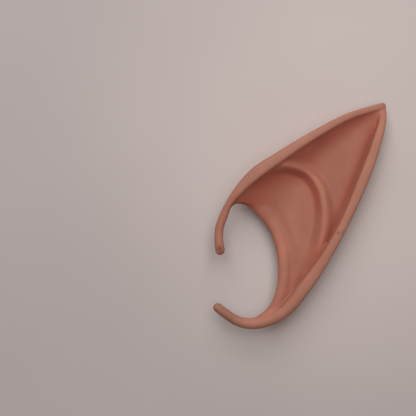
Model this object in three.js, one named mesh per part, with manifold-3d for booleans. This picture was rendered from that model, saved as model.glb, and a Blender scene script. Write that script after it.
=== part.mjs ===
// A slip-on pointed ear tip: one soft latex casting, hollow like a pouch, lying on its back.
// Two rolled rims run from the tip to a free hook each. A dished front wall and a bowed back wall
// span between them, and the pocket between the walls opens at a round notch between the hooks.
// Units are millimetres, +Z is up, and the origin lies under the middle of the ear, at its lowest plane.
import * as THREE from "three";
import { mergeVertices } from "three/addons/utils/BufferGeometryUtils.js";
import Module from "manifold-3d";

// Driving dimensions
const WALL = 1.4; // thickness of the cast latex
const SKIN_COLOUR = 0xb87a66;

// Rolls: centre line, width across and height of each rounded edge.
// The top rim runs from the tip along the upper edge to the end of the upper hook.
const TOP_RIM = [
  { x: 38.3, y: 50.9, z: 9.2, width: 3.2, height: 4.0 },
  { x: 23.5, y: 46.3, z: 12.0, width: 3.3, height: 4.2 },
  { x: 6.6, y: 37.4, z: 15.0, width: 4.1, height: 4.8 },
  { x: -10.8, y: 26.3, z: 16.8, width: 5.2, height: 5.2 },
  { x: -20.7, y: 19.5, z: 17.2, width: 5.8, height: 5.2 },
  { x: -27.0, y: 13.4, z: 16.7, width: 4.6, height: 4.8 },
  { x: -32.9, y: 5.6, z: 15.4, width: 3.3, height: 4.2 },
  { x: -35.3, y: 0.1, z: 14.4, width: 4.0, height: 4.2 },
  { x: -37.1, y: -5.4, z: 13.4, width: 4.0, height: 4.0 },
  { x: -37.4, y: -10.4, z: 12.7, width: 4.1, height: 4.0 },
  { x: -36.8, y: -15.6, z: 12.2, width: 4.5, height: 4.0 },
];
// The back rim runs from the tip down the back and round the lobe to the end of the lower hook.
const BACK_RIM = [
  { x: 38.5, y: 48.7, z: 9.4, width: 3.0, height: 3.4 },
  { x: 38.0, y: 44.8, z: 10.4, width: 3.6, height: 4.2 },
  { x: 34.3, y: 31.8, z: 12.6, width: 4.6, height: 4.6 },
  { x: 28.1, y: 15.7, z: 14.2, width: 5.1, height: 5.0 },
  { x: 20.9, y: -0.6, z: 14.9, width: 4.5, height: 5.2 },
  { x: 12.3, y: -16.9, z: 14.6, width: 4.7, height: 5.2 },
  { x: 1.6, y: -32.8, z: 13.4, width: 5.9, height: 5.6 },
  { x: -6.9, y: -43.2, z: 12.2, width: 5.8, height: 5.6 },
  { x: -17.9, y: -48.7, z: 11.2, width: 5.4, height: 5.4 },
  { x: -22.6, y: -49.3, z: 11.0, width: 5.2, height: 5.2 },
  { x: -28.7, y: -48.1, z: 10.8, width: 4.7, height: 4.8 },
  { x: -33.4, y: -45.3, z: 10.9, width: 4.5, height: 4.6 },
  { x: -37.9, y: -41.9, z: 11.2, width: 4.3, height: 4.2 },
];
// The lip is the front wall's rolled edge round the notch, from one hook's root to the other's.
const LIP = [
  { x: -34.6, y: -0.5, z: 13.4, width: 2.4, height: 2.4 },
  { x: -33.2, y: 4.0, z: 13.0, width: 2.6, height: 2.4 },
  { x: -30.2, y: 7.2, z: 11.8, width: 3.6, height: 2.6 },
  { x: -25.1, y: 8.1, z: 9.9, width: 6.0, height: 3.0 },
  { x: -16.9, y: 3.1, z: 8.2, width: 7.0, height: 3.2 },
  { x: -11.4, y: -4.4, z: 7.7, width: 6.6, height: 3.4 },
  { x: -8.2, y: -13.3, z: 7.8, width: 6.2, height: 3.8 },
  { x: -6.9, y: -24.0, z: 8.4, width: 6.2, height: 4.0 },
  { x: -7.9, y: -33.6, z: 9.2, width: 6.0, height: 4.2 },
  { x: -12.4, y: -42.9, z: 10.2, width: 5.2, height: 4.0 },
  { x: -18.0, y: -47.2, z: 10.6, width: 4.2, height: 3.6 },
  { x: -22.8, y: -49.0, z: 10.9, width: 3.4, height: 3.2 },
];
// The ridge is the antihelix's crest line in plan. The panel lies inside it, lower than the wall outside.
const RIDGE = [
  { x: -16.0, y: 23.8 },
  { x: -9.2, y: 23.4 },
  { x: -3.9, y: 22.9 },
  { x: 4.6, y: 19.5 },
  { x: 9.5, y: 12.8 },
  { x: 11.6, y: 4.6 },
  { x: 11.7, y: -4.8 },
  { x: 10.3, y: -13.2 },
  { x: 9.2, y: -18.5 },
  { x: 7.1, y: -28.0 },
];
const TOP_ROOT_ROW = 6; // row of TOP_RIM where the walls end and the free hook starts
const BACK_ROOT_ROW = 9; // row of BACK_RIM where the walls end and the free hook starts
const LOBE_ROW = 6; // row of BACK_RIM from which its section is round

// Sections across the ear, from the tip (share 0) to the hooks' roots (share 1): height of the front wall
// beside the top rim and beside the back rim, how far it dishes between them, how far in from the top rim
// its slope reaches, and the back wall's keel.
const SECTIONS = [
  { share: 0.0, frontTop: 11.4, frontBack: 11.4, dish: 0.0, reach: 2.0, keel: 8.6 },
  { share: 0.12, frontTop: 10.7, frontBack: 9.4, dish: 0.2, reach: 4.8, keel: 4.4 },
  { share: 0.28, frontTop: 10.2, frontBack: 9.9, dish: 0.5, reach: 9.0, keel: 1.6 },
  { share: 0.45, frontTop: 10.2, frontBack: 11.1, dish: 0.6, reach: 13.6, keel: -0.8 },
  { share: 0.65, frontTop: 10.8, frontBack: 12.2, dish: 0.5, reach: 18.0, keel: -0.9 },
  { share: 0.82, frontTop: 11.5, frontBack: 12.9, dish: 0.4, reach: 19.0, keel: -0.6 },
  { share: 0.9, frontTop: 12.3, frontBack: 13.5, dish: 0.2, reach: 15.0, keel: 1.2 },
  { share: 1.0, frontTop: 13.6, frontBack: 14.2, dish: 0.0, reach: 8.0, keel: 9.0 },
];
const HULL_POWER = 2.4; // superellipse power of the back wall: 2 is round, more is squarer
const RIM_POWER = 3.6; // the same for the rims' own sections along the walls
const HOOK_POWER = 2; // and on the lobe, the free hooks and the lip
const ROOT_BLEND = { before: 0.06, after: 0.08 }; // shares of a rim's length over which its section changes

// How the front wall leaves the rims. Below the top rim it falls in a hollow slope, and at the back rim it
// drops in a steep foot with a groove along it.
const SLOPE_POWER = 2.6;
const SHOULDER = 0.25; // the slope starts this share of the rim's height above its centre line
const RIM_FOOT = [-2, -0.1]; // where the foot starts and ends, from the rim's inner edge
const GROOVE = { depth: 1.2, width: 3.2, rise: [0.02, 0.15], fall: [0.7, 0.9] };
const ROOM_SHARE = 0.45; // slope and groove reach no further in than this share of the clear span
const LEAST_ROOM = 0.5;

// The ridge's crest above the wall outside it, the soft gutter there, and the panel below the same wall.
// Pairs of widths are for the ridge's top and bottom; it widens between the given shares of its line.
const CREST = { height: 2, outside: [1.3, 2.8], inside: [0.5, 1.5], widens: [0.2, 0.6] };
const CREST_ENDS = { rise: [0.03, 0.15], fall: [0.72, 1] };
const GUTTER = { depth: 0.4, distance: 4, width: 1.7, fall: [0.45, 0.7] };
const PANEL = { depth: 1.9, slope: [3.4, 5], widens: [0.5, 0.9], rounding: 0.2 };

// How the front wall meets the lip, and the half height of the lip's flatter underside.
const LIP_BLEND = 4;
const LIP_OVERLAP = 0.6;
const LIP_PROUD = 0.9;
const LIP_UNDER = 1;

// Notch: the tilted ellipse cut out of both walls between the hooks. The lip covers the front wall's edge.
const NOTCH = { x: -25.6, y: -21.3, radiusX: 17.2, radiusY: 27.6, tilt: 6 };
const NOTCH_REACH = 60; // length of the cutter, well past the ear up and down

// The upper hook's end is trimmed on a slant: a point on the cut, its outward direction, the cutter's size.
const TRIM_POINT = new THREE.Vector3(-36.1, -16.6, 13.4);
const TRIM_NORMAL = new THREE.Vector3(0.4, -0.72, 0.57).normalize();
const TRIM_SIZE = 16;

// Fineness of the mesh
const RIM_SIDES = 12;
const RIM_STEPS = 40;
const LIP_STEPS = 28;
const END_STEPS = 3;
const END_SHARE = 0.05; // size of a roll's last ring
const WALL_ROWS = 58;
const FRONT_COLUMNS = 38;
const BACK_COLUMNS = 18;
const POCKET_ROWS = 20;
const POCKET_COLUMNS = 14;
const NOTCH_SIDES = 56;
const LINE_STEPS = 80;
const SHORTEST_EDGE = 0.004;

const FIRST_SHARE = 0.02; // the walls start here, inside the joined rims at the tip
const POCKET_FIRST_SHARE = 0.22; // the tip is solid up to here
const POCKET_LAST_SHARE = 0.97; // the pocket ends here, inside the notch
const POCKET_CLEAR = 1.1; // the pocket's roof starts this far inside the rims' inner edges
const POCKET_SIDE = 0.2; // and its floor this share of the way round the back wall's section
const RIM_OVERLAP = 0.15; // the back wall starts this far inside the rims' outer edges

const wasm = await Module();
wasm.setup();

const { clamp, lerp, degToRad, smoothstep } = THREE.MathUtils;
const bell = (x) => Math.exp(-(x ** 2));
const fadeInOut = (share, { rise, fall }) => smoothstep(share, ...rise) * (1 - smoothstep(share, ...fall));

// A roll as a curve: at(share) gives its centre, direction, plan normal to the left, and size.
function makeRoll(rows) {
  const centres = rows.map((row) => new THREE.Vector3(row.x, row.y, row.z));
  const sizes = rows.map((row) => new THREE.Vector3(row.width, row.height, 0));
  const path = new THREE.CatmullRomCurve3(centres, false, "chordal");
  const girth = new THREE.CatmullRomCurve3(sizes, false, "catmullrom");
  path.arcLengthDivisions = 600;
  const shareOfRow = (row) => {
    const lengths = path.getLengths();
    return lengths[Math.round((row / (rows.length - 1)) * path.arcLengthDivisions)] / lengths.at(-1);
  };
  const at = (share) => {
    const t = path.getUtoTmapping(share);
    const along = path.getTangent(t);
    const left = new THREE.Vector3(-along.y, along.x, 0).normalize();
    const size = girth.getPoint(t);
    return { centre: path.getPoint(t), along, left, width: size.x, height: size.y };
  };
  return { at, shareOfRow };
}

const topRim = makeRoll(TOP_RIM);
const backRim = makeRoll(BACK_RIM);
const lip = makeRoll(LIP);
const topRoot = topRim.shareOfRow(TOP_ROOT_ROW);
const backRoot = backRim.shareOfRow(BACK_ROOT_ROW);
const lobeShare = backRim.shareOfRow(LOBE_ROW);
const lipLine = Array.from({ length: LINE_STEPS + 1 }, (_, i) => lip.at(i / LINE_STEPS).centre);
const ridgeLine = new THREE.CatmullRomCurve3(
  RIDGE.map((row) => new THREE.Vector3(row.x, row.y, 0)), false, "chordal").getPoints(LINE_STEPS);

// The table of sections at any share.
const sectionFront = new THREE.CatmullRomCurve3(
  SECTIONS.map((row) => new THREE.Vector3(row.frontTop, row.frontBack, row.dish)), false, "catmullrom");
const sectionDepth = new THREE.CatmullRomCurve3(
  SECTIONS.map((row) => new THREE.Vector3(row.reach, row.keel, 0)), false, "catmullrom");
function sectionAt(share) {
  let row = 0;
  while (row < SECTIONS.length - 2 && share > SECTIONS[row + 1].share) row += 1;
  const within = (share - SECTIONS[row].share) / (SECTIONS[row + 1].share - SECTIONS[row].share);
  const t = Math.min(1, (row + within) / (SECTIONS.length - 1));
  const front = sectionFront.getPoint(t);
  const depth = sectionDepth.getPoint(t);
  return { frontTop: front.x, frontBack: front.y, dish: front.z, reach: depth.x, keel: depth.y };
}

// Where a plan point lies beside a line: its distance, the share of the line's length, and on which side.
function beside(line, x, y) {
  let found = { distance: Infinity };
  for (let i = 0; i < LINE_STEPS; i += 1) {
    const stepX = line[i + 1].x - line[i].x;
    const stepY = line[i + 1].y - line[i].y;
    const toX = x - line[i].x;
    const toY = y - line[i].y;
    const within = clamp((toX * stepX + toY * stepY) / (stepX ** 2 + stepY ** 2), 0, 1);
    const distance = Math.hypot(toX - within * stepX, toY - within * stepY);
    const onLeft = stepX * toY - stepY * toX > 0;
    if (distance < found.distance) found = { distance, share: (i + within) / LINE_STEPS, onLeft };
  }
  return found;
}

// How far the front wall stands above (crest) or below (panel) its general level at a plan point.
function ridgeRelief(x, y) {
  const { distance, share, onLeft } = beside(ridgeLine, x, y);
  const fade = fadeInOut(share, CREST_ENDS);
  const widening = smoothstep(share, ...CREST.widens);
  if (onLeft) {
    const gutterDepth = GUTTER.depth * (1 - smoothstep(share, ...GUTTER.fall));
    const gutter = gutterDepth * bell((distance - GUTTER.distance) / GUTTER.width);
    return fade * (CREST.height * bell(distance / lerp(...CREST.outside, widening)) - gutter);
  }
  const slope = lerp(...PANEL.slope, smoothstep(share, ...PANEL.widens));
  const down = clamp((distance - lerp(...CREST.inside, widening)) / slope, 0, 1);
  return lerp(CREST.height * fade, -PANEL.depth, lerp(down, smoothstep(down, 0, 1), PANEL.rounding));
}

// The ends of a section: both rims at the same share of the walls' length.
function sectionEnds(share) {
  return { top: topRim.at(share * topRoot), back: backRim.at(share * backRoot) };
}

// The front wall's upper surface: s runs from the top rim's centre line (0) to the back rim's (1).
function frontPoint(share, s) {
  const { top, back } = sectionEnds(share);
  const section = sectionAt(share);
  const point = new THREE.Vector3().lerpVectors(top.centre, back.centre, s);
  const span = Math.hypot(back.centre.x - top.centre.x, back.centre.y - top.centre.y);
  const room = Math.max(ROOM_SHARE * (span - (top.width + back.width) / 2), LEAST_ROOM);
  const fromTop = s * span - top.width / 2;
  const fromBack = (1 - s) * span - back.width / 2;
  const nearTop = (1 - clamp(fromTop / Math.min(section.reach, room), 0, 1)) ** SLOPE_POWER;
  const nearBack = 1 - smoothstep(fromBack, ...RIM_FOOT);
  const nearRim = nearTop + nearBack - nearTop * nearBack;
  const level = lerp(section.frontTop, section.frontBack, s) - section.dish * 4 * s * (1 - s);
  const groove = bell(Math.max(fromBack, 0) / Math.min(GROOVE.width, room)) * fadeInOut(share, GROOVE);
  const edge = beside(lipLine, point.x, point.y);
  const lipThere = lip.at(edge.share);
  const lipLevel = lipThere.centre.z + lipThere.height / 2 - LIP_PROUD;
  const clearOfLip = smoothstep(edge.distance - lipThere.width / 2, -LIP_OVERLAP, LIP_BLEND);
  const floor = lerp(lipLevel, level - GROOVE.depth * groove, clearOfLip);
  const topZ = top.centre.z + SHOULDER * top.height;
  const rimZ = nearRim > 0 ? (nearTop * topZ + nearBack * back.centre.z) / (nearTop + nearBack) : 0;
  const relief = ridgeRelief(point.x, point.y) * (1 - nearRim ** 2) * clearOfLip;
  point.z = lerp(floor, rimZ, nearRim) + relief;
  return point;
}

// The back wall's outer surface: a superellipse hung from the rims' outer edges, flat where it would pass
// below zero. inset moves it inwards, for the pocket's own surface.
function backPoint(share, s, inset = 0) {
  const { top, back } = sectionEnds(share);
  const { keel } = sectionAt(share);
  const reach = (rim) => rim.width / 2 - RIM_OVERLAP - inset;
  const topEdge = top.centre.clone().addScaledVector(top.left, -reach(top));
  const backEdge = back.centre.clone().addScaledVector(back.left, reach(back));
  const cos = Math.cos(Math.PI * s);
  const across = (1 - Math.sign(cos) * Math.abs(cos) ** (2 / HULL_POWER)) / 2;
  const drop = Math.sin(Math.PI * s) ** (2 / HULL_POWER);
  const point = new THREE.Vector3().lerpVectors(topEdge, backEdge, across);
  point.z = Math.max(0, lerp(point.z, keel, drop)) + inset;
  return point;
}

// Sample positions across a wall, closer together beside the rims.
const spread = (i, count) => lerp(i / count, 0.5 - 0.5 * Math.cos((Math.PI * i) / count), 0.5);

function indexed(positions, faces) {
  const geometry = new THREE.BufferGeometry();
  geometry.setAttribute("position", new THREE.Float32BufferAttribute(positions, 3));
  geometry.setIndex(faces);
  return geometry;
}

// A closed solid between an upper and a lower surface with as many rows, each { point(row, column), columns }.
function slab(upper, lower, rows) {
  const positions = [];
  const faces = [];
  const layers = [];
  for (const { point, columns } of [upper, lower]) {
    const first = positions.length / 3;
    layers.push((row, column) => first + row * (columns + 1) + column);
    for (let row = 0; row <= rows; row += 1) {
      for (let column = 0; column <= columns; column += 1) positions.push(...point(row, column).toArray());
    }
  }
  const [above, below] = layers;
  const quad = (a, b, c, d) => faces.push(a, b, c, a, c, d);
  for (let row = 0; row < rows; row += 1) {
    for (let i = 0; i < upper.columns; i += 1) {
      quad(above(row, i), above(row + 1, i), above(row + 1, i + 1), above(row, i + 1));
    }
    for (let i = 0; i < lower.columns; i += 1) {
      quad(below(row, i), below(row, i + 1), below(row + 1, i + 1), below(row + 1, i));
    }
    quad(above(row + 1, 0), above(row, 0), below(row, 0), below(row + 1, 0));
    const [u, v] = [upper.columns, lower.columns];
    quad(above(row, u), above(row + 1, u), below(row + 1, v), below(row, v));
  }
  // The end faces join rows with different numbers of points, always stepping on along the one that lags.
  for (const row of [0, rows]) {
    const triangle = (a, b, c) => (row === 0 ? faces.push(a, b, c) : faces.push(a, c, b));
    let u = 0;
    let v = 0;
    while (u < upper.columns || v < lower.columns) {
      if ((u + 1) / upper.columns <= (v + 1) / lower.columns) {
        triangle(above(row, u), above(row, u + 1), below(row, v));
        u += 1;
      } else {
        triangle(above(row, u), below(row, v + 1), below(row, v));
        v += 1;
      }
    }
  }
  return indexed(positions, faces);
}

// A roll as a tube of rings with rounded ends. Its section is squared by power up to its root and round
// beyond, and under limits the half height of its lower side.
function rollGeometry(roll, steps, { power = HOOK_POWER, root = 0, under = Infinity } = {}) {
  const rings = [];
  for (let i = END_STEPS; i >= 1; i -= 1) rings.push({ share: 0, past: -i / END_STEPS });
  for (let i = 0; i <= steps; i += 1) rings.push({ share: i / steps, past: 0 });
  for (let i = 1; i <= END_STEPS; i += 1) rings.push({ share: 1, past: i / END_STEPS });
  const positions = [];
  for (const { share, past } of rings) {
    const { centre, along, left, width, height } = roll.at(share);
    const bulge = Math.sin((past * Math.PI) / 2) * (width / 2);
    const shrink = Math.max(END_SHARE, Math.cos((past * Math.PI) / 2));
    const rounded = smoothstep(share, root - ROOT_BLEND.before, root + ROOT_BLEND.after);
    const roundOff = 2 / lerp(power, HOOK_POWER, rounded);
    const squared = (value) => Math.sign(value) * Math.abs(value) ** roundOff;
    for (let side = 0; side < RIM_SIDES; side += 1) {
      const angle = (2 * Math.PI * side) / RIM_SIDES;
      const lift = squared(Math.sin(angle));
      const halfHeight = lift > 0 ? height / 2 : Math.min(height / 2, under);
      const point = centre.clone().addScaledVector(along, bulge);
      point.addScaledVector(left, (width / 2) * shrink * squared(Math.cos(angle)));
      point.z += halfHeight * shrink * lift;
      positions.push(...point.toArray());
    }
  }
  const faces = [];
  const last = (rings.length - 1) * RIM_SIDES;
  for (let ring = 0; ring < last; ring += RIM_SIDES) {
    for (let side = 0; side < RIM_SIDES; side += 1) {
      const a = ring + side;
      const b = ring + ((side + 1) % RIM_SIDES);
      faces.push(a, b, b + RIM_SIDES, a, b + RIM_SIDES, a + RIM_SIDES);
    }
  }
  for (let side = 1; side < RIM_SIDES - 1; side += 1) {
    faces.push(0, side + 1, side);
    faces.push(last, last + side, last + side + 1);
  }
  return indexed(positions, faces);
}

// The whole thickness of the ear between the rims, before it is hollowed.
function bodyGeometry() {
  const share = (row) => lerp(FIRST_SHARE, 1, row / WALL_ROWS);
  const front = (row, column) => frontPoint(share(row), spread(column, FRONT_COLUMNS));
  const back = (row, column) => backPoint(share(row), column / BACK_COLUMNS);
  return slab({ point: front, columns: FRONT_COLUMNS }, { point: back, columns: BACK_COLUMNS }, WALL_ROWS);
}

// The hollow between the walls, from behind the solid tip to inside the notch.
function pocketGeometry() {
  const share = (row) => lerp(POCKET_FIRST_SHARE, POCKET_LAST_SHARE, row / POCKET_ROWS);
  const roof = (row, column) => {
    const { top, back } = sectionEnds(share(row));
    const span = back.centre.distanceTo(top.centre);
    const from = (top.width / 2 + POCKET_CLEAR) / span;
    const to = 1 - (back.width / 2 + POCKET_CLEAR) / span;
    const point = frontPoint(share(row), lerp(from, to, spread(column, POCKET_COLUMNS)));
    point.z -= WALL;
    return point;
  };
  const around = (column) => lerp(POCKET_SIDE, 1 - POCKET_SIDE, column / POCKET_COLUMNS);
  const floor = (row, column) => backPoint(share(row), around(column), WALL);
  const columns = POCKET_COLUMNS;
  return slab({ point: roof, columns }, { point: floor, columns }, POCKET_ROWS);
}

function notchGeometry() {
  const cutter = new THREE.CylinderGeometry(1, 1, NOTCH_REACH, NOTCH_SIDES);
  cutter.rotateX(Math.PI / 2).scale(NOTCH.radiusX, NOTCH.radiusY, 1);
  return cutter.rotateZ(degToRad(NOTCH.tilt)).translate(NOTCH.x, NOTCH.y, 0);
}

// The block that the upper hook's end is trimmed with.
function trimGeometry() {
  const block = new THREE.BoxGeometry(TRIM_SIZE, TRIM_SIZE, TRIM_SIZE).translate(0, 0, TRIM_SIZE / 2);
  const turn = new THREE.Quaternion().setFromUnitVectors(new THREE.Vector3(0, 0, 1), TRIM_NORMAL);
  return block.applyQuaternion(turn).translate(TRIM_POINT.x, TRIM_POINT.y, TRIM_POINT.z);
}

// A closed geometry as a solid that can be joined and cut.
function solidOf(geometry) {
  const bare = new THREE.BufferGeometry();
  bare.setAttribute("position", geometry.getAttribute("position"));
  bare.setIndex(geometry.getIndex());
  const merged = mergeVertices(bare);
  return new wasm.Manifold(new wasm.Mesh({
    numProp: 3,
    vertProperties: merged.getAttribute("position").array,
    triVerts: new Uint32Array(merged.getIndex().array),
  }));
}

// A solid's surface, with the shortest edges that the cuts leave behind closed up.
function geometryOf(solid) {
  const { vertProperties: positions, triVerts } = solid.getMesh();
  const corner = (vertex) => new THREE.Vector3().fromArray(positions, vertex * 3);
  const kept = Array.from({ length: positions.length / 3 }, (_, vertex) => vertex);
  const keeper = (vertex) => (kept[vertex] === vertex ? vertex : keeper(kept[vertex]));
  const faces = [];
  for (let i = 0; i < triVerts.length; i += 3) faces.push([...triVerts.slice(i, i + 3)]);
  for (const [a, b, c] of faces) {
    for (const [from, to] of [[a, b], [b, c], [c, a]]) {
      if (corner(from).distanceTo(corner(to)) < SHORTEST_EDGE) kept[keeper(to)] = keeper(from);
    }
  }
  const index = [];
  for (const face of faces) {
    const corners = face.map(keeper);
    if (new Set(corners).size === 3) index.push(...corners);
  }
  const geometry = new THREE.BufferGeometry();
  geometry.setAttribute("position", new THREE.BufferAttribute(positions, 3));
  geometry.setIndex(index);
  geometry.computeVertexNormals();
  return geometry;
}

function earShell() {
  const hook = rollGeometry(topRim, RIM_STEPS, { power: RIM_POWER, root: topRoot });
  const rolls = [
    solidOf(hook).subtract(solidOf(trimGeometry())),
    solidOf(rollGeometry(backRim, RIM_STEPS, { power: RIM_POWER, root: lobeShare })),
    solidOf(rollGeometry(lip, LIP_STEPS, { under: LIP_UNDER })),
  ];
  let shell = solidOf(bodyGeometry()).subtract(solidOf(pocketGeometry())).subtract(solidOf(notchGeometry()));
  for (const roll of rolls) shell = shell.add(roll);
  const latex = new THREE.MeshStandardMaterial({ color: SKIN_COLOUR, roughness: 0.6, metalness: 0 });
  const mesh = new THREE.Mesh(geometryOf(shell), latex);
  mesh.name = "ear_shell";
  return mesh;
}

const ear = new THREE.Group();
ear.add(earShell());

export default ear;
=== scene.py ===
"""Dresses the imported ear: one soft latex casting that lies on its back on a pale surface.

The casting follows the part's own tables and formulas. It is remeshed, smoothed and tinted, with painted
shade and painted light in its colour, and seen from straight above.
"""
import math

import bpy
import numpy as np
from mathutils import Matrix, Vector
from mathutils.bvhtree import BVHTree


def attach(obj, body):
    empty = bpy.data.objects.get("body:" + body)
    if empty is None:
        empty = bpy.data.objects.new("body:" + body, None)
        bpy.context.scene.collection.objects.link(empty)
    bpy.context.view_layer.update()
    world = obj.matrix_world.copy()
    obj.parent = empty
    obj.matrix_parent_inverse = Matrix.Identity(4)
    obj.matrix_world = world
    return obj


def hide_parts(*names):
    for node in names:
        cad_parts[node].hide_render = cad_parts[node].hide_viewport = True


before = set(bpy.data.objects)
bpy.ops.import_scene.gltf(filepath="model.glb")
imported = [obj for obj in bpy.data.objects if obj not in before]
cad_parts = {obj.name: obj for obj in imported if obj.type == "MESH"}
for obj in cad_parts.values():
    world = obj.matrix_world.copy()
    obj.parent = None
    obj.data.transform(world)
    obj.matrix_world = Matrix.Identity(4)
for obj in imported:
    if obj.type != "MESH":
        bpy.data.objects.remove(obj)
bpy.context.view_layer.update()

# Shapes and the camera are in millimetres. Materials and lights are in metres.
MM = 0.001
WALL = 1.4  # thickness of the cast latex

# Rolls: the centre line, width across and height of each rounded edge.
# The top rim runs from the tip along the upper edge to the end of the upper hook.
TOP_RIM = [
    # x, y, z, width, height
    (38.3, 50.9, 9.2, 3.2, 4.0),
    (23.5, 46.3, 12.0, 3.3, 4.2),
    (6.6, 37.4, 15.0, 4.1, 4.8),
    (-10.8, 26.3, 16.8, 5.2, 5.2),
    (-20.7, 19.5, 17.2, 5.8, 5.2),
    (-27.0, 13.4, 16.7, 4.6, 4.8),
    (-32.9, 5.6, 15.4, 3.3, 4.2),
    (-35.3, 0.1, 14.4, 4.0, 4.2),
    (-37.1, -5.4, 13.4, 4.0, 4.0),
    (-37.4, -10.4, 12.7, 4.1, 4.0),
    (-36.8, -15.6, 12.2, 4.5, 4.0),
]
# The back rim runs from the tip down the back and round the lobe to the end of the lower hook.
BACK_RIM = [
    # x, y, z, width, height
    (38.5, 48.7, 9.4, 3.0, 3.4),
    (38.0, 44.8, 10.4, 3.6, 4.2),
    (34.3, 31.8, 12.6, 4.6, 4.6),
    (28.1, 15.7, 14.2, 5.1, 5.0),
    (20.9, -0.6, 14.9, 4.5, 5.2),
    (12.3, -16.9, 14.6, 4.7, 5.2),
    (1.6, -32.8, 13.4, 5.9, 5.6),
    (-6.9, -43.2, 12.2, 5.8, 5.6),
    (-17.9, -48.7, 11.2, 5.4, 5.4),
    (-22.6, -49.3, 11.0, 5.2, 5.2),
    (-28.7, -48.1, 10.8, 4.7, 4.8),
    (-33.4, -45.3, 10.9, 4.5, 4.6),
    (-37.9, -41.9, 11.2, 4.3, 4.2),
]
# The lip is the front wall's rolled edge round the notch, from one hook's root to the other's.
LIP = [
    # x, y, z, width, height
    (-34.6, -0.5, 13.4, 2.4, 2.4),
    (-33.2, 4.0, 13.0, 2.6, 2.4),
    (-30.2, 7.2, 11.8, 3.6, 2.6),
    (-25.1, 8.1, 9.9, 6.0, 3.0),
    (-16.9, 3.1, 8.2, 7.0, 3.2),
    (-11.4, -4.4, 7.7, 6.6, 3.4),
    (-8.2, -13.3, 7.8, 6.2, 3.8),
    (-6.9, -24.0, 8.4, 6.2, 4.0),
    (-7.9, -33.6, 9.2, 6.0, 4.2),
    (-12.4, -42.9, 10.2, 5.2, 4.0),
    (-18.0, -47.2, 10.6, 4.2, 3.6),
    (-22.8, -49.0, 10.9, 3.4, 3.2),
]
# The ridge is the antihelix's crest line in plan. The panel lies inside it, lower than the wall outside.
RIDGE = [
    # x, y
    (-16.0, 23.8),
    (-9.2, 23.4),
    (-3.9, 22.9),
    (4.6, 19.5),
    (9.5, 12.8),
    (11.6, 4.6),
    (11.7, -4.8),
    (10.3, -13.2),
    (9.2, -18.5),
    (7.1, -28.0),
]
TOP_ROOT_ROW = 6  # row of TOP_RIM where the walls end and the free hook starts
BACK_ROOT_ROW = 9  # row of BACK_RIM where the walls end and the free hook starts
LOBE_ROW = 6  # row of BACK_RIM from which its section is round

# Sections across the ear, from the tip (share 0) to the hooks' roots (share 1): height of the front wall
# beside the top rim and beside the back rim, how far it dishes between them, how far in from the top rim
# its slope reaches, and the back wall's keel.
SECTIONS = [
    # share, front_top, front_back, dish, reach, keel
    (0.0, 11.4, 11.4, 0.0, 2.0, 8.6),
    (0.12, 10.7, 9.4, 0.2, 4.8, 4.4),
    (0.28, 10.2, 9.9, 0.5, 9.0, 1.6),
    (0.45, 10.2, 11.1, 0.6, 13.6, -0.8),
    (0.65, 10.8, 12.2, 0.5, 18.0, -0.9),
    (0.82, 11.5, 12.9, 0.4, 19.0, -0.6),
    (0.9, 12.3, 13.5, 0.2, 15.0, 1.2),
    (1.0, 13.6, 14.2, 0.0, 8.0, 9.0),
]
HULL_POWER = 2.4  # superellipse power of the back wall: 2 is round, more is squarer
RIM_POWER = 3.6  # the same for the rims' own sections along the walls
HOOK_POWER = 2.0  # and on the lobe, the free hooks and the lip
ROOT_BLEND = {"before": 0.06, "after": 0.08}  # shares of a rim's length over which its section changes

# How the front wall leaves the rims. Below the top rim it falls in a hollow slope, and at the back rim it
# drops in a steep foot with a groove along it.
SLOPE_POWER = 2.6
SHOULDER = 0.25  # the slope starts this share of the rim's height above its centre line
RIM_FOOT = (-2.0, -0.1)  # where the foot starts and ends, from the rim's inner edge
GROOVE = {"depth": 1.2, "width": 3.2}
GROOVE_ENDS = {"rise": (0.02, 0.15), "fall": (0.7, 0.9)}  # shares of the walls' length
ROOM_SHARE = 0.45  # slope and groove reach no further in than this share of the clear span
LEAST_ROOM = 0.5

# The ridge's crest above the wall outside it, the soft gutter there, and the panel below the same wall.
# Pairs of widths are for the ridge's top and bottom. It widens between the given shares of its line.
CREST = {"height": 2.0, "outside": (1.3, 2.8), "inside": (0.5, 1.5), "widens": (0.2, 0.6)}
CREST_ENDS = {"rise": (0.03, 0.15), "fall": (0.72, 1.0)}
GUTTER = {"depth": 0.4, "distance": 4.0, "width": 1.7, "fall": (0.45, 0.7)}
PANEL = {"depth": 1.9, "slope": (3.4, 5.0), "widens": (0.5, 0.9), "rounding": 0.2}

# How the front wall meets the lip, and the half height of the lip's flatter underside
LIP_BLEND = 4.0
LIP_OVERLAP = 0.6
LIP_PROUD = 0.9
LIP_UNDER = 1.0

# Notch: the tilted ellipse cut out of both walls between the hooks. The lip covers the front wall's edge.
NOTCH = {"x": -25.6, "y": -21.3, "radius_x": 17.2, "radius_y": 27.6, "tilt": 6.0}
NOTCH_REACH = 30.0  # the cutter goes this far up and down, well past the ear

# The upper hook's end is trimmed on a slant: a point on the cut, its outward direction, the cutter's size.
TRIM_POINT = (-36.1, -16.6, 13.4)
TRIM_NORMAL = (0.40, -0.72, 0.57)
TRIM_SIZE = 8.0

FIRST_SHARE = 0.02  # the walls start here, inside the joined rims at the tip
POCKET_SHARES = (0.22, 0.97)  # the pocket goes from behind the solid tip to inside the notch
POCKET_CLEAR = 1.1  # the pocket's roof starts this far inside the rims' inner edges
POCKET_SIDE = 0.2  # and its floor this share of the way round the back wall's section
RIM_OVERLAP = 0.15  # the back wall starts this far inside the rims' outer edges

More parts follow.
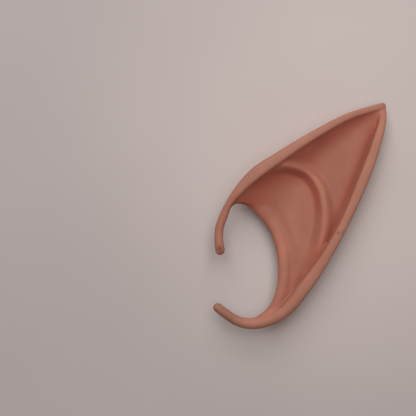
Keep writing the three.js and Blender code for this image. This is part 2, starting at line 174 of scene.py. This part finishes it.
# Fineness of the mesh and of the lines that it is worked out from
RIM_STEPS = 240
RIM_SIDES = 40
END_STEPS = 10
END_SHARE = 0.04  # size of a roll's last ring
WALL_ROWS = 170
WALL_COLUMNS = 96
POCKET_ROWS = 80
POCKET_COLUMNS = 56
CROWDING = 0.5  # how much closer together a wall's columns lie beside the rims
NOTCH_SIDES = 160
LENGTH_STEPS = 600
LINE_STEPS = 240
RIDGE_STEPS = 180
TANGENT_STEP = 0.001
TINY = 1e-9  # keeps a share of nothing from being divided by zero
VOXEL = 0.5
SMOOTH_FACTOR = 0.5
SMOOTH_ROUNDS = 6

# Recesses: how much of the sky each point of the front wall loses to the ear itself, which sets the painted
# shade there
SHADE_LIFT = 1.0  # looked at from this far above the surface, so that narrow creases count for less
SHADE_REACH = 30.0
SHADE_DIRECTIONS = 32
SHADE_TURNS = 8  # neighbouring points look in directions turned by a part of the circle
GOLDEN_ANGLE = math.pi * (3 - math.sqrt(5))  # from one direction to the next, to spread them evenly
SHADE_BLUR = 11  # rounds of averaging with the neighbouring points
TINT_BLUR = 3  # the same for the tints made of it

# Where the tints, most of them painted shade and painted light, lie. Pairs are where a tint starts and is
# full, or where it starts to fade and is gone.
FRONT_FACING = (0.0, 0.3)  # upward part of the normal
TOP_EDGE = (-1.0, 0.6)  # distance past the top rim's inner edge
BACK_EDGE = (-1.7, -0.3)  # and past the back rim's, whose inner side gets the painted shade too
RECESS_DEEP = (0.07, 0.36)  # share of the sky that is hidden, for the painted shade in the recesses
SHADE_WASH_FULL = (0.02, 0.07)  # and for the wash of painted shade, which leaves out the parts that stand proud
CREASE_FADE = (-0.8, 2.4)  # distance past the back rim's inner edge, for the painted shade in the crease along its foot
CREASE_END = (0.62, 0.75)  # share of that rim's length, for the same painted shade
FLANK_FACING = (-0.3, -0.95)  # direction in plan of the flanks that face away from the lights, which get deeper painted shade
FLANK_STEEP = (0.0, 0.4)  # part of the normal in that direction
CREST_HIGHLIGHT = {"inside": 1.3, "width": 0.9}  # painted highlight on the lower crest, this far inside its line
CREST_HIGHLIGHT_ENDS = {"rise": (0.58, 0.74), "fall": (0.81, 0.9)}  # shares of the crest line
HOOK_REACH = 0.7  # points within this share of a rim's width from its centre line are on its hook
HOOK_FADE = 0.08  # share of a rim's length over which its hook takes on its own tone
HOOK_STREAKS = 3  # faint pale streaks, side by side along the upper hook

# What each stored amount multiplies the latex's colour by at its full strength. Most are painted shade and
# painted light; the hooks' tones and streaks are the latex's own.
LATEX_TINTS = {
    # painted light on the open parts that stand proud, such as the ridge's crest and the lip
    "raised_light": (1.13, 1.07, 1.04),
    # painted shade, darker and redder wherever the ear hides part of the sky
    "shade_wash": (0.92, 0.80, 0.78),
    # painted shade on the flanks that face away from the lights
    "flank_shade": (1.06, 0.76, 0.72),
    # painted shade, deepest in the most hidden recesses
    "recess_shade": (0.93, 0.79, 0.76),
    # painted shade in the crease along the back rim's foot
    "crease_shade": (0.96, 0.95, 0.94),
    # painted highlight along the lower part of the ridge's crest
    "crest_highlight": (1.25, 1.25, 1.25),
    "upper_hook": (1.02, 0.99, 0.98),
    "streak": (1.12, 1.14, 1.16),
    "lower_hook": (0.84, 0.91, 0.87),
    # darkens the pressed marks, more the deeper they are
    "mark": (0.50, 0.43, 0.38),
}

# Small marks in plan. First the dimple in the upper hook's end, then pits.
MARKS = [
    # x, y, radius, depth
    (-36.9, -15.2, 1.4, 0.5),
    (16.9, -7.6, 0.55, 0.35),
    (19.0, -7.3, 0.5, 0.3),
    (9.3, 12.4, 0.45, 0.2),
    (20.5, 7.6, 0.45, 0.15),
]
MARK_FACING = (0.0, 0.5)  # upward part of the normal from which a mark starts and is full
DARKEST_MARK_DEPTH = 0.35  # a mark this deep is darkened fully, a shallower one less

# Latex: the shader's inputs, the noises' grain, and the tones from a low to a high value of a noise
LATEX_SURFACE = {
    "Roughness": 0.62,
    "Specular IOR Level": 0.35,
    "Subsurface Weight": 0.2,
    "Subsurface Radius": (1.0, 0.3, 0.18),
    "Subsurface Scale": 0.002,
}
MOTTLE = {"Scale": 90.0, "Detail": 4.0}
MOTTLE_TONES = {0.3: (0.427, 0.177, 0.118), 0.7: (0.494, 0.206, 0.140)}
BLOTCH = {"Scale": 420.0, "Detail": 3.0}
BLOTCH_TONES = {0.35: (0.86, 0.86, 0.86), 0.65: (1.04, 1.04, 1.04)}
PORES = {"Scale": 1800.0, "Detail": 3.0}
PORE_BUMP = {"Strength": 0.25, "Distance": 0.0001}

# Floor: as for the latex. Its colour holds a painted pool of light round a place near the ear, with painted
# shade further away.
FLOOR_HALF = 2500.0
FLOOR_SURFACE = {"Roughness": 0.8, "Specular IOR Level": 0.2}
CLOUD = {"Scale": 9.0, "Detail": 2.0}
CLOUD_TONES = {0.3: (0.64, 0.553, 0.522), 0.7: (0.67, 0.583, 0.552)}
# centre of the painted pool of light, how it fades, and the painted shade beyond it
LIT_POOL_CENTRE = (0.03, 0.04, 0.0)
LIT_POOL_FADE = {"From Min": 0.04, "From Max": 0.16}
POOL_FALLOFF_SHADE = (0.82, 0.83, 0.86)

# Lights: soft panels that look at the ear, and the sky's even glow
LIGHT_TARGET = (0.0, 0.0, 0.01)
LIGHTS = {
    "window": {"place": (-0.05, 0.59, 0.81), "size": (0.8, 1.0), "watts": 7.1},
    "overhead": {"place": (0.0, 0.09, 1.0), "size": (0.8, 0.8), "watts": 2.9},
}
SKY = {"Color": (1.0, 0.80, 0.73, 1), "Strength": 0.09}

# Camera, straight above
IMAGE_WIDTH_PX = 416
MM_PER_PX = 0.458  # at the height of the rims
RIM_HEIGHT = 13.0
EYE = (-42.33, 3.89, 500.0)
SENSOR = 36.0
CLIP_START = 10.0


def ramp(x, low, high):
    """0 up to low, 1 from high on, and straight between them."""
    return np.clip((x - low) / (high - low), 0, 1)


def smoothstep(x, low, high):
    """The same with eased ends."""
    w = ramp(x, low, high)
    return w * w * (3 - 2 * w)


def fade_in_out(share, ends):
    """Rises from 0 to 1 over one pair of shares and falls back over another."""
    return smoothstep(share, *ends["rise"]) * (1 - smoothstep(share, *ends["fall"]))


def mix(a, b, w):
    """From a to b by the weight w."""
    return a + (b - a) * w


def bell(x):
    """1 at 0, falling smoothly to both sides."""
    return np.exp(-(x**2))


def signed_power(x, power):
    """A power of a number's size that keeps its sign, for superellipses."""
    return np.sign(x) * np.abs(x) ** power


def unit(vectors):
    """Vectors scaled to a length of 1."""
    return vectors / np.linalg.norm(vectors, axis=-1, keepdims=True)


def spline(points, t, chordal):
    """Catmull-Rom curve through the points at t from 0 to 1, spaced by chord or evenly."""
    points = np.asarray(points, float)
    before = 2 * points[0] - points[1]
    after = 2 * points[-1] - points[-2]
    full = np.vstack([before, points, after])
    place = np.clip(t, 0, 1) * (len(points) - 1)
    row = np.minimum(place.astype(int), len(points) - 2)
    w = (place - row)[:, None]
    p0, p1, p2, p3 = (full[row + k] for k in range(4))
    if chordal:
        gap = np.linalg.norm(np.diff(full, axis=0), axis=1)
        d0, d1, d2 = (gap[row + k][:, None] for k in range(3))
        leave = ((p1 - p0) / d0 - (p2 - p0) / (d0 + d1) + (p2 - p1) / d1) * d1
        arrive = ((p2 - p1) / d1 - (p3 - p1) / (d1 + d2) + (p3 - p2) / d2) * d1
    else:
        leave = (p2 - p0) / 2
        arrive = (p3 - p1) / 2
    square = 3 * (p2 - p1) - 2 * leave - arrive
    cube = 2 * (p1 - p2) + leave + arrive
    return p1 + leave * w + square * w**2 + cube * w**3


class Roll:
    """A rounded edge along a curve through the rows of a table."""

    def __init__(self, rows):
        table = np.asarray(rows, float)
        self.centres = table[:, :3]
        self.sizes = table[:, 3:]
        self.t = np.linspace(0, 1, LENGTH_STEPS + 1)
        path = spline(self.centres, self.t, True)
        steps = np.linalg.norm(np.diff(path, axis=0), axis=1)
        self.shares = np.concatenate([[0], np.cumsum(steps)]) / steps.sum()

    def share_of_row(self, row):
        """Share of its length at which a row of the table lies."""
        return self.shares[round(row / (len(self.centres) - 1) * LENGTH_STEPS)]

    def at(self, share):
        """Centre, direction, plan normal to the left, width and height at shares of its length."""
        t = np.interp(share, self.shares, self.t)
        ahead = spline(self.centres, np.minimum(t + TANGENT_STEP, 1), True)
        behind = spline(self.centres, np.maximum(t - TANGENT_STEP, 0), True)
        along = unit(ahead - behind)
        left = unit(np.stack([-along[:, 1], along[:, 0], np.zeros(len(along))], axis=1))
        width, height = spline(self.sizes, t, False).T
        return spline(self.centres, t, True), along, left, width, height


top_rim = Roll(TOP_RIM)
back_rim = Roll(BACK_RIM)
lip_roll = Roll(LIP)
top_root = top_rim.share_of_row(TOP_ROOT_ROW)
back_root = back_rim.share_of_row(BACK_ROOT_ROW)
lobe_share = back_rim.share_of_row(LOBE_ROW)
line_shares = np.linspace(0, 1, LINE_STEPS + 1)
lip_line, _, _, lip_width, lip_height = lip_roll.at(line_shares)
ridge_line = spline(RIDGE, np.linspace(0, 1, RIDGE_STEPS + 1), True)


def section_at(share):
    """The table of sections at any share, one row of values for each of its columns."""
    table = np.asarray(SECTIONS, float)
    t = np.interp(share, table[:, 0], np.linspace(0, 1, len(table)))
    return spline(table[:, 1:], t, False).T


def nearest(line, x, y):
    """Where plan points lie beside a line: distance, the line's row there, and side (1 is to its left)."""
    starts = line[:-1, :2]
    steps = line[1:, :2] - starts
    distance = np.full(x.shape, np.inf)
    row = np.zeros(x.shape)
    side = np.ones(x.shape)
    for i, (start, step) in enumerate(zip(starts, steps)):
        within = ((x - start[0]) * step[0] + (y - start[1]) * step[1]) / (step @ step)
        within = np.clip(within, 0, 1)
        dx = x - start[0] - within * step[0]
        dy = y - start[1] - within * step[1]
        gap = np.hypot(dx, dy)
        closer = gap < distance
        distance = np.where(closer, gap, distance)
        row = np.where(closer, i + within, row)
        side = np.where(closer, np.sign(step[0] * dy - step[1] * dx), side)
    return distance, row, side


def ridge_relief(x, y):
    """How far the front wall stands above (crest) or below (panel) its general level at plan points."""
    distance, row, side = nearest(ridge_line, x, y)
    share = row / RIDGE_STEPS
    fade = fade_in_out(share, CREST_ENDS)
    crest = CREST["height"] * fade
    widening = smoothstep(share, *CREST["widens"])
    gutter = GUTTER["depth"] * fade * (1 - smoothstep(share, *GUTTER["fall"]))
    outside = crest * bell(distance / mix(*CREST["outside"], widening))
    outside -= gutter * bell((distance - GUTTER["distance"]) / GUTTER["width"])
    slope = mix(*PANEL["slope"], smoothstep(share, *PANEL["widens"]))
    down = np.clip((distance - mix(*CREST["inside"], widening)) / slope, 0, 1)
    inside = mix(crest, -PANEL["depth"], mix(down, smoothstep(down, 0, 1), PANEL["rounding"]))
    return np.where(side < 0, inside, outside)


def lip_meeting(x, y):
    """The level at which the front wall meets the lip, and how free of the lip it is at plan points."""
    distance, row, _ = nearest(lip_line, x, y)
    row = np.round(row).astype(int)
    level = lip_line[row, 2] + lip_height[row] / 2 - LIP_PROUD
    return level, smoothstep(distance - lip_width[row] / 2, -LIP_OVERLAP, LIP_BLEND)


def front_points(share, s):
    """The front wall's upper surface, from the top rim's centre line (s = 0) to the back rim's (s = 1)."""
    top, _, _, top_width, top_height = top_rim.at(share * top_root)
    back, _, _, back_width, _ = back_rim.at(share * back_root)
    front_top, front_back, dish, reach, _ = section_at(share)
    point = mix(top, back, s[:, None])
    x, y = point[:, :2].T
    span = np.hypot(*(back - top)[:, :2].T)
    from_top = s * span - top_width / 2
    from_back = (1 - s) * span - back_width / 2
    room = np.maximum(ROOM_SHARE * (span - (top_width + back_width) / 2), LEAST_ROOM)
    near_top = (1 - np.clip(from_top / np.minimum(reach, room), 0, 1)) ** SLOPE_POWER
    near_back = 1 - smoothstep(from_back, *RIM_FOOT)
    arch = 4 * s * (1 - s)
    floor = mix(front_top, front_back, s) - dish * arch
    groove = GROOVE["depth"] * fade_in_out(share, GROOVE_ENDS)
    floor -= groove * bell(np.maximum(from_back, 0) / np.minimum(GROOVE["width"], room))
    lip_level, lip_free = lip_meeting(x, y)
    floor = mix(lip_level, floor, lip_free)
    near_rim = near_top + near_back - near_top * near_back
    top_level = top[:, 2] + SHOULDER * top_height
    both = np.maximum(near_top + near_back, TINY)
    rim_level = (near_top * top_level + near_back * back[:, 2]) / both
    relief = ridge_relief(x, y) * (1 - near_rim**2)
    point[:, 2] = mix(floor, rim_level, near_rim) + relief * lip_free
    return point


def back_points(share, s, inset=0.0):
    """The back wall's outer surface, or the pocket's own surface when moved in by inset."""
    top, _, top_left, top_width, _ = top_rim.at(share * top_root)
    back, _, back_left, back_width, _ = back_rim.at(share * back_root)
    keel = section_at(share)[-1]
    top_edge = top - top_left * (top_width / 2 - RIM_OVERLAP - inset)[:, None]
    back_edge = back + back_left * (back_width / 2 - RIM_OVERLAP - inset)[:, None]
    across = (1 - signed_power(np.cos(np.pi * s), 2 / HULL_POWER)) / 2
    drop = np.abs(np.sin(np.pi * s)) ** (2 / HULL_POWER)
    point = mix(top_edge, back_edge, across[:, None])
    point[:, 2] = np.maximum(0, mix(point[:, 2], keel, drop)) + inset
    return point


def add_object(name, data):
    """Puts a new object into the scene."""
    item = bpy.data.objects.new(name, data)
    bpy.context.scene.collection.objects.link(item)
    return item


def mesh_object(name, points, faces):
    """A piece made of points, in millimetres, and faces."""
    mesh = bpy.data.meshes.new(name)
    mesh.from_pydata((np.asarray(points) * MM).tolist(), [], faces)
    mesh.update()
    return add_object(name, mesh)


def grid(shares, across):
    """Every share with every place across, row by row."""
    return np.repeat(shares, len(across)), np.tile(across, len(shares))


def spread(columns):
    """Places across a wall, closer together beside the rims."""
    even = np.linspace(0, 1, columns + 1)
    crowded = 0.5 - 0.5 * np.cos(np.pi * even)
    return mix(even, crowded, CROWDING)


def slab(name, upper, lower, rows, columns):
    """A closed solid between two surfaces given on the same grid of rows and columns."""
    stride = columns + 1
    layer = (rows + 1) * stride
    faces = []
    for row in range(rows):
        for a in range(row * stride, row * stride + columns):
            b, c, d = a + 1, a + stride + 1, a + stride
            faces.append((a, d, c, b))
            faces.append((layer + a, layer + b, layer + c, layer + d))
    index = np.arange(layer).reshape(rows + 1, stride)
    sides = [index[0, :-1], index[:-1, -1], index[-1, :0:-1], index[:0:-1, 0]]
    border = np.concatenate(sides).tolist()
    for a, b in zip(border, border[1:] + border[:1]):
        faces.append((a, b, layer + b, layer + a))
    return mesh_object(name, np.vstack([upper, lower]), faces)


def tube(name, rings):
    """A closed solid through rings of points, with flat ends."""
    count, sides, _ = rings.shape
    last = (count - 1) * sides
    faces = [tuple(reversed(range(sides))), tuple(range(last, last + sides))]
    for ring in range(0, last, sides):
        for i in range(sides):
            a = ring + i
            b = ring + (i + 1) % sides
            faces.append((a, b, b + sides, a + sides))
    return mesh_object(name, rings.reshape(-1, 3), faces)


def make_body():
    """The whole thickness of the ear between the rims, before it is hollowed."""
    shares = np.linspace(FIRST_SHARE, 1, WALL_ROWS + 1)
    upper = front_points(*grid(shares, spread(WALL_COLUMNS)))
    lower = back_points(*grid(shares, np.linspace(0, 1, WALL_COLUMNS + 1)))
    return slab("ear_body", upper, lower, WALL_ROWS, WALL_COLUMNS)


def make_pocket():
    """The hollow between the walls, from behind the solid tip to inside the notch."""
    shares = np.linspace(*POCKET_SHARES, POCKET_ROWS + 1)
    share, s = grid(shares, spread(POCKET_COLUMNS))
    top, _, _, top_width, _ = top_rim.at(share * top_root)
    back, _, _, back_width, _ = back_rim.at(share * back_root)
    span = np.linalg.norm(back - top, axis=1)
    start = (top_width / 2 + POCKET_CLEAR) / span
    end = 1 - (back_width / 2 + POCKET_CLEAR) / span
    upper = front_points(share, mix(start, end, s))
    upper[:, 2] -= WALL
    around = np.linspace(POCKET_SIDE, 1 - POCKET_SIDE, POCKET_COLUMNS + 1)
    lower = back_points(*grid(shares, around), inset=WALL)
    return slab("ear_pocket", upper, lower, POCKET_ROWS, POCKET_COLUMNS)


def make_notch():
    """The cutter for the notch: an elliptical prism through both walls."""
    turn = math.radians(NOTCH["tilt"])
    angle = np.linspace(0, 2 * np.pi, NOTCH_SIDES, endpoint=False)
    u = NOTCH["radius_x"] * np.cos(angle)
    v = NOTCH["radius_y"] * np.sin(angle)
    x = NOTCH["x"] + u * math.cos(turn) - v * math.sin(turn)
    y = NOTCH["y"] + u * math.sin(turn) + v * math.cos(turn)
    heights = (-NOTCH_REACH, NOTCH_REACH)
    rings = [np.stack([x, y, np.full(NOTCH_SIDES, z)], axis=1) for z in heights]
    return tube("ear_notch", np.stack(rings))


def make_roll(name, roll, power, root=0.0, under=np.inf):
    """A roll as a tube with rounded ends, squared by power up to its root and round beyond.

    under limits the half height of its lower side.
    """
    step = np.arange(-END_STEPS, RIM_STEPS + END_STEPS + 1)
    share = np.clip(step / RIM_STEPS, 0, 1)
    past_end = (np.minimum(step, 0) + np.maximum(step - RIM_STEPS, 0)) / END_STEPS
    centre, along, left, width, height = roll.at(share)
    bulge = np.sin(past_end * np.pi / 2) * width / 2
    shrink = np.maximum(END_SHARE, np.cos(past_end * np.pi / 2))
    blend = smoothstep(share, root - ROOT_BLEND["before"], root + ROOT_BLEND["after"])
    squareness = 2 / mix(power, HOOK_POWER, blend)[:, None]
    angle = np.linspace(0, 2 * np.pi, RIM_SIDES, endpoint=False)
    lift = signed_power(np.sin(angle), squareness)
    sideways = signed_power(np.cos(angle), squareness) * (width * shrink / 2)[:, None]
    middle = centre + along * bulge[:, None]
    rings = middle[:, None, :] + left[:, None, :] * sideways[:, :, None]
    above = (height * shrink / 2)[:, None]
    below = (np.minimum(height / 2, under) * shrink)[:, None]
    rings[..., 2] += np.where(lift > 0, above, below) * lift
    return tube(name, rings)


def make_trim():
    """The block that trims the upper hook's end on a slant."""
    normal = unit(np.asarray(TRIM_NORMAL))
    side = unit(np.cross(normal, (0, 0, 1)))
    up = np.cross(side, normal)
    corners = TRIM_SIZE * np.array([(-1, -1), (-1, 1), (1, 1), (1, -1)])
    near = np.asarray(TRIM_POINT) + corners @ np.stack([side, up])
    return tube("hook_trim", np.stack([near, near + TRIM_SIZE * normal]))


def settle(piece):
    """Replaces a piece's mesh by what its modifiers make of it."""
    graph = bpy.context.evaluated_depsgraph_get()
    mesh = bpy.data.meshes.new_from_object(piece.evaluated_get(graph))
    old = piece.data
    piece.modifiers.clear()
    piece.data = mesh
    bpy.data.meshes.remove(old)


def combine(piece, other, operation):
    """Joins another piece to a piece or cuts it out of it, and removes the other one."""
    change = piece.modifiers.new("combine", "BOOLEAN")
    change.operation = operation
    change.solver = "MANIFOLD"
    change.object = other
    settle(piece)
    mesh = other.data
    bpy.data.objects.remove(other)
    bpy.data.meshes.remove(mesh)


def refine(piece):
    """Remeshes a piece finely and evenly, and smooths it."""
    remesh = piece.modifiers.new("remesh", "REMESH")
    remesh.mode = "VOXEL"
    remesh.voxel_size = VOXEL * MM
    settle(piece)
    smooth = piece.modifiers.new("smooth", "SMOOTH")
    smooth.factor = SMOOTH_FACTOR
    smooth.iterations = SMOOTH_ROUNDS
    settle(piece)
    piece.data.shade_smooth()


def point_values(mesh, name):
    """Positions or normals of a mesh's points as three columns."""
    values = np.empty(len(mesh.vertices) * 3)
    mesh.vertices.foreach_get(name, values)
    return values.reshape(-1, 3)


def plan_places(mesh):
    """Where a mesh's points lie in plan, in millimetres."""
    return point_values(mesh, "co").T[:2] / MM


def beside_roll(mesh, roll):
    """Where points lie beside a roll in plan: distance to its left, its width and the share of its length."""
    line, _, _, width, _ = roll.at(line_shares)
    distance, row, side = nearest(line, *plan_places(mesh))
    return side * distance, width[np.round(row).astype(int)], row / LINE_STEPS


def dome(turn):
    """Directions over the half space above +Z, denser towards +Z as a matte surface weighs its light."""
    i = np.arange(SHADE_DIRECTIONS) + 0.5
    out = np.sqrt(i / SHADE_DIRECTIONS)
    angle = i * GOLDEN_ANGLE + turn
    columns = (out * np.cos(angle), out * np.sin(angle), np.sqrt(1 - out**2))
    return [Vector(direction) for direction in zip(*columns)]


def hidden_shares(piece, inside):
    """Share of the sky that the piece hides from each point inside the rims."""
    tree = BVHTree.FromObject(piece, bpy.context.evaluated_depsgraph_get())
    domes = [dome(2 * math.pi * i / SHADE_TURNS) for i in range(SHADE_TURNS)]
    hidden = np.zeros(len(inside))
    for i in np.flatnonzero(inside):
        vertex = piece.data.vertices[i]
        start = vertex.co + vertex.normal * (SHADE_LIFT * MM)
        hits = [tree.ray_cast(start, v, SHADE_REACH * MM)[0] for v in domes[i % SHADE_TURNS]]
        hidden[i] = 1 - hits.count(None) / SHADE_DIRECTIONS
    return hidden


def blurred(mesh, values, rounds):
    """Point values averaged with those of their neighbours."""
    edges = np.empty(len(mesh.edges) * 2, int)
    mesh.edges.foreach_get("vertices", edges)
    a, b = edges.reshape(-1, 2).T
    size = len(values)
    count = np.bincount(edges, minlength=size) + 1.0
    for _ in range(rounds):
        total = values + np.bincount(a, values[b], size) + np.bincount(b, values[a], size)
        values = total / count
    return values


def store(mesh, name, values):
    """Stores a number for each point, which the material reads by its name."""
    attribute = mesh.attributes.new(name, "FLOAT", "POINT")
    attribute.data.foreach_set("value", values)


def crest_highlight_weight(mesh):
    """How strong the painted highlight on the lower part of the ridge's crest is on each point."""
    distance, row, side = nearest(ridge_line, *plan_places(mesh))
    across = (side * distance + CREST_HIGHLIGHT["inside"]) / CREST_HIGHLIGHT["width"]
    return bell(across) * fade_in_out(row / RIDGE_STEPS, CREST_HIGHLIGHT_ENDS)


def mark_front(piece):
    """Stores how strong each of the front wall's tints of painted shade and painted light is on each point.
    """
    mesh = piece.data
    normals = point_values(mesh, "normal")
    from_top, top_width, _ = beside_roll(mesh, top_rim)
    from_back, back_width, share = beside_roll(mesh, back_rim)
    past_top = from_top - top_width / 2
    past_back = -from_back - back_width / 2
    inside = smoothstep(normals[:, 2], *FRONT_FACING)
    inside *= smoothstep(past_top, *TOP_EDGE) * smoothstep(past_back, *BACK_EDGE)
    hidden = blurred(mesh, hidden_shares(piece, inside) * inside, SHADE_BLUR)
    flank_shade = smoothstep(normals[:, :2] @ FLANK_FACING, *FLANK_STEEP)
    shade_wash = smoothstep(hidden, *SHADE_WASH_FULL) * (1 - flank_shade)
    tints = {
        "raised_light": 1 - flank_shade - shade_wash,
        "shade_wash": shade_wash,
        "flank_shade": flank_shade,
        "recess_shade": ramp(hidden, *RECESS_DEEP),
        "crease_shade": (1 - smoothstep(past_back, *CREASE_FADE)) * (1 - smoothstep(share, *CREASE_END)),
        "crest_highlight": crest_highlight_weight(mesh),
    }
    for name, values in tints.items():
        store(mesh, name, blurred(mesh, values * inside, TINT_BLUR))


def mark_hooks(mesh):
    """Stores where the free hooks are, and the streaks along the upper one."""
    hooks = {"upper_hook": (top_rim, top_root), "lower_hook": (back_rim, back_root)}
    for name, (roll, root) in hooks.items():
        distance, width, share = beside_roll(mesh, roll)
        across = distance / width
        on_hook = (np.abs(across) < HOOK_REACH) * smoothstep(share, root, root + HOOK_FADE)
        store(mesh, name, on_hook)
        if name == "upper_hook":
            streak = 0.5 + 0.5 * np.cos(2 * np.pi * HOOK_STREAKS * across)
            store(mesh, "streak", on_hook * streak)


def press_marks(mesh):
    """Presses the small marks into the upper side and stores where they are."""
    points = point_values(mesh, "co")
    normals = point_values(mesh, "normal")
    facing = smoothstep(normals[:, 2], *MARK_FACING)
    mark_darkening = np.zeros(len(points))
    for x, y, radius, depth in MARKS:
        distance = np.hypot(points[:, 0] / MM - x, points[:, 1] / MM - y)
        strength = bell(distance / radius) * facing
        points -= normals * (strength * depth * MM)[:, None]
        mark_darkening = np.maximum(mark_darkening, strength * min(1, depth / DARKEST_MARK_DEPTH))
    mesh.vertices.foreach_set("co", points.ravel())
    mesh.update()
    store(mesh, "mark", mark_darkening)


def make_ear():
    """The whole casting: walls hollowed and notched, rims with their hooks, lip, tints of painted shade and
    light, and marks.
    """
    casting = make_body()
    combine(casting, make_pocket(), "DIFFERENCE")
    combine(casting, make_notch(), "DIFFERENCE")
    upper_edge = make_roll("top_rim", top_rim, RIM_POWER, top_root)
    combine(upper_edge, make_trim(), "DIFFERENCE")
    combine(casting, upper_edge, "UNION")
    combine(casting, make_roll("back_rim", back_rim, RIM_POWER, lobe_share), "UNION")
    combine(casting, make_roll("lip", lip_roll, HOOK_POWER, under=LIP_UNDER), "UNION")
    casting.name = "ear_casting"
    refine(casting)
    mark_front(casting)
    mark_hooks(casting.data)
    press_marks(casting.data)
    return casting


def set_inputs(node, values):
    """Sets a node's inputs by their names."""
    for name, value in values.items():
        node.inputs[name].default_value = value


def new_material(name, surface):
    """A material, its node tree, and its shader with the inputs set."""
    material = bpy.data.materials.new(name)
    material.use_nodes = True
    tree = material.node_tree
    shader = tree.nodes["Principled BSDF"]
    set_inputs(shader, surface)
    return material, tree, shader


def own_place(tree):
    """A point's place in the piece's own coordinates."""
    return tree.nodes.new("ShaderNodeTexCoord").outputs["Object"]


def noise(tree, grain):
    """Noise fixed to the piece."""
    node = tree.nodes.new("ShaderNodeTexNoise")
    set_inputs(node, grain)
    tree.links.new(own_place(tree), node.inputs["Vector"])
    return node.outputs["Fac"]


def toned(tree, value, tones):
    """The colour for a value, from tones given at a low and a high value."""
    node = tree.nodes.new("ShaderNodeValToRGB")
    for element, (position, colour) in zip(node.color_ramp.elements, tones.items()):
        element.position = position
        element.color = (*colour, 1)
    tree.links.new(value, node.inputs["Fac"])
    return node.outputs["Color"]


def stored(tree, name):
    """The number that was stored for a point."""
    node = tree.nodes.new("ShaderNodeAttribute")
    node.attribute_name = name
    return node.outputs["Fac"]


def multiplied(tree, colour, amount, tint):
    """A colour multiplied, to an amount, by a fixed tint or by another colour of the tree."""
    layer = tree.nodes.new("ShaderNodeMix")
    layer.data_type = "RGBA"
    layer.blend_type = "MULTIPLY"
    tree.links.new(amount, layer.inputs["Factor"])
    tree.links.new(colour, layer.inputs["A"])
    if isinstance(tint, tuple):
        layer.inputs["B"].default_value = (*tint, 1)
    else:
        tree.links.new(tint, layer.inputs["B"])
    return layer.outputs["Result"]


def latex_material():
    """Matte skin-toned latex: soft mottling, light scattering under the surface, tints with painted shade and
    painted light, and fine pores.
    """
    material, tree, shader = new_material("skin_latex", LATEX_SURFACE)
    colour = toned(tree, noise(tree, MOTTLE), MOTTLE_TONES)
    for name, tint in LATEX_TINTS.items():
        colour = multiplied(tree, colour, stored(tree, name), tint)
    blotches = toned(tree, noise(tree, BLOTCH), BLOTCH_TONES)
    colour = multiplied(tree, colour, stored(tree, "lower_hook"), blotches)
    tree.links.new(colour, shader.inputs["Base Color"])
    bump = tree.nodes.new("ShaderNodeBump")
    set_inputs(bump, PORE_BUMP)
    tree.links.new(noise(tree, PORES), bump.inputs["Height"])
    tree.links.new(bump.outputs["Normal"], shader.inputs["Normal"])
    return material


def away_from(tree, place, fade):
    """0 near a place to 1 away from it, over the distances of fade."""
    offset = tree.nodes.new("ShaderNodeVectorMath")
    offset.operation = "SUBTRACT"
    offset.inputs[1].default_value = place
    tree.links.new(own_place(tree), offset.inputs[0])
    distance = tree.nodes.new("ShaderNodeVectorMath")
    distance.operation = "LENGTH"
    tree.links.new(offset.outputs["Vector"], distance.inputs[0])
    eased = tree.nodes.new("ShaderNodeMapRange")
    eased.interpolation_type = "SMOOTHSTEP"
    set_inputs(eased, fade)
    tree.links.new(distance.outputs["Value"], eased.inputs["Value"])
    return eased.outputs["Result"]


def floor_material():
    """A pale, faintly clouded surface with a painted pool of light round the ear and painted shade away from
    it.
    """
    material, tree, shader = new_material("pale_surface", FLOOR_SURFACE)
    colour = toned(tree, noise(tree, CLOUD), CLOUD_TONES)
    # painted shade: the surface dulls away from the pool of light
    colour = multiplied(tree, colour, away_from(tree, LIT_POOL_CENTRE, LIT_POOL_FADE), POOL_FALLOFF_SHADE)
    tree.links.new(colour, shader.inputs["Base Color"])
    return material


def make_floor():
    """The surface that the ear lies on."""
    corners = [(a * FLOOR_HALF, b * FLOOR_HALF, 0) for a, b in ((-1, -1), (1, -1), (1, 1), (-1, 1))]
    floor = mesh_object("surface", corners, [(0, 1, 2, 3)])
    floor.data.materials.append(floor_material())


def make_light(name, place, size, watts):
    """A rectangular panel of light that looks at the ear."""
    lamp = bpy.data.lights.new(name, "AREA")
    lamp.shape = "RECTANGLE"
    lamp.size, lamp.size_y = size
    lamp.energy = watts
    light = add_object(name, lamp)
    light.location = place
    x, y, z = np.asarray(LIGHT_TARGET) - np.asarray(place)
    tilt = math.atan2(math.hypot(x, y), -z)
    heading = math.atan2(y, x) - math.pi / 2
    light.rotation_euler = (tilt, 0, heading)


def make_sky():
    """The even glow from all round."""
    world = bpy.data.worlds.new("soft_sky")
    world.use_nodes = True
    set_inputs(world.node_tree.nodes["Background"], SKY)
    bpy.context.scene.world = world


def make_camera():
    """A camera straight above, at the photograph's scale."""
    data = bpy.data.cameras.new("camera")
    data.sensor_width = SENSOR
    data.lens = SENSOR * (EYE[2] - RIM_HEIGHT) / (IMAGE_WIDTH_PX * MM_PER_PX)
    data.clip_start = CLIP_START * MM
    camera = add_object("camera", data)
    camera.location = [v * MM for v in EYE]
    bpy.context.scene.camera = camera


ear = make_ear()
ear.data.materials.clear()  # joining the solids leaves an empty slot
ear.data.materials.append(latex_material())
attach(ear, "root")
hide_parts("ear_shell")

make_floor()
for light_name, values in LIGHTS.items():
    make_light(light_name, **values)
make_sky()
make_camera()
bpy.context.scene.view_settings.view_transform = "Standard"
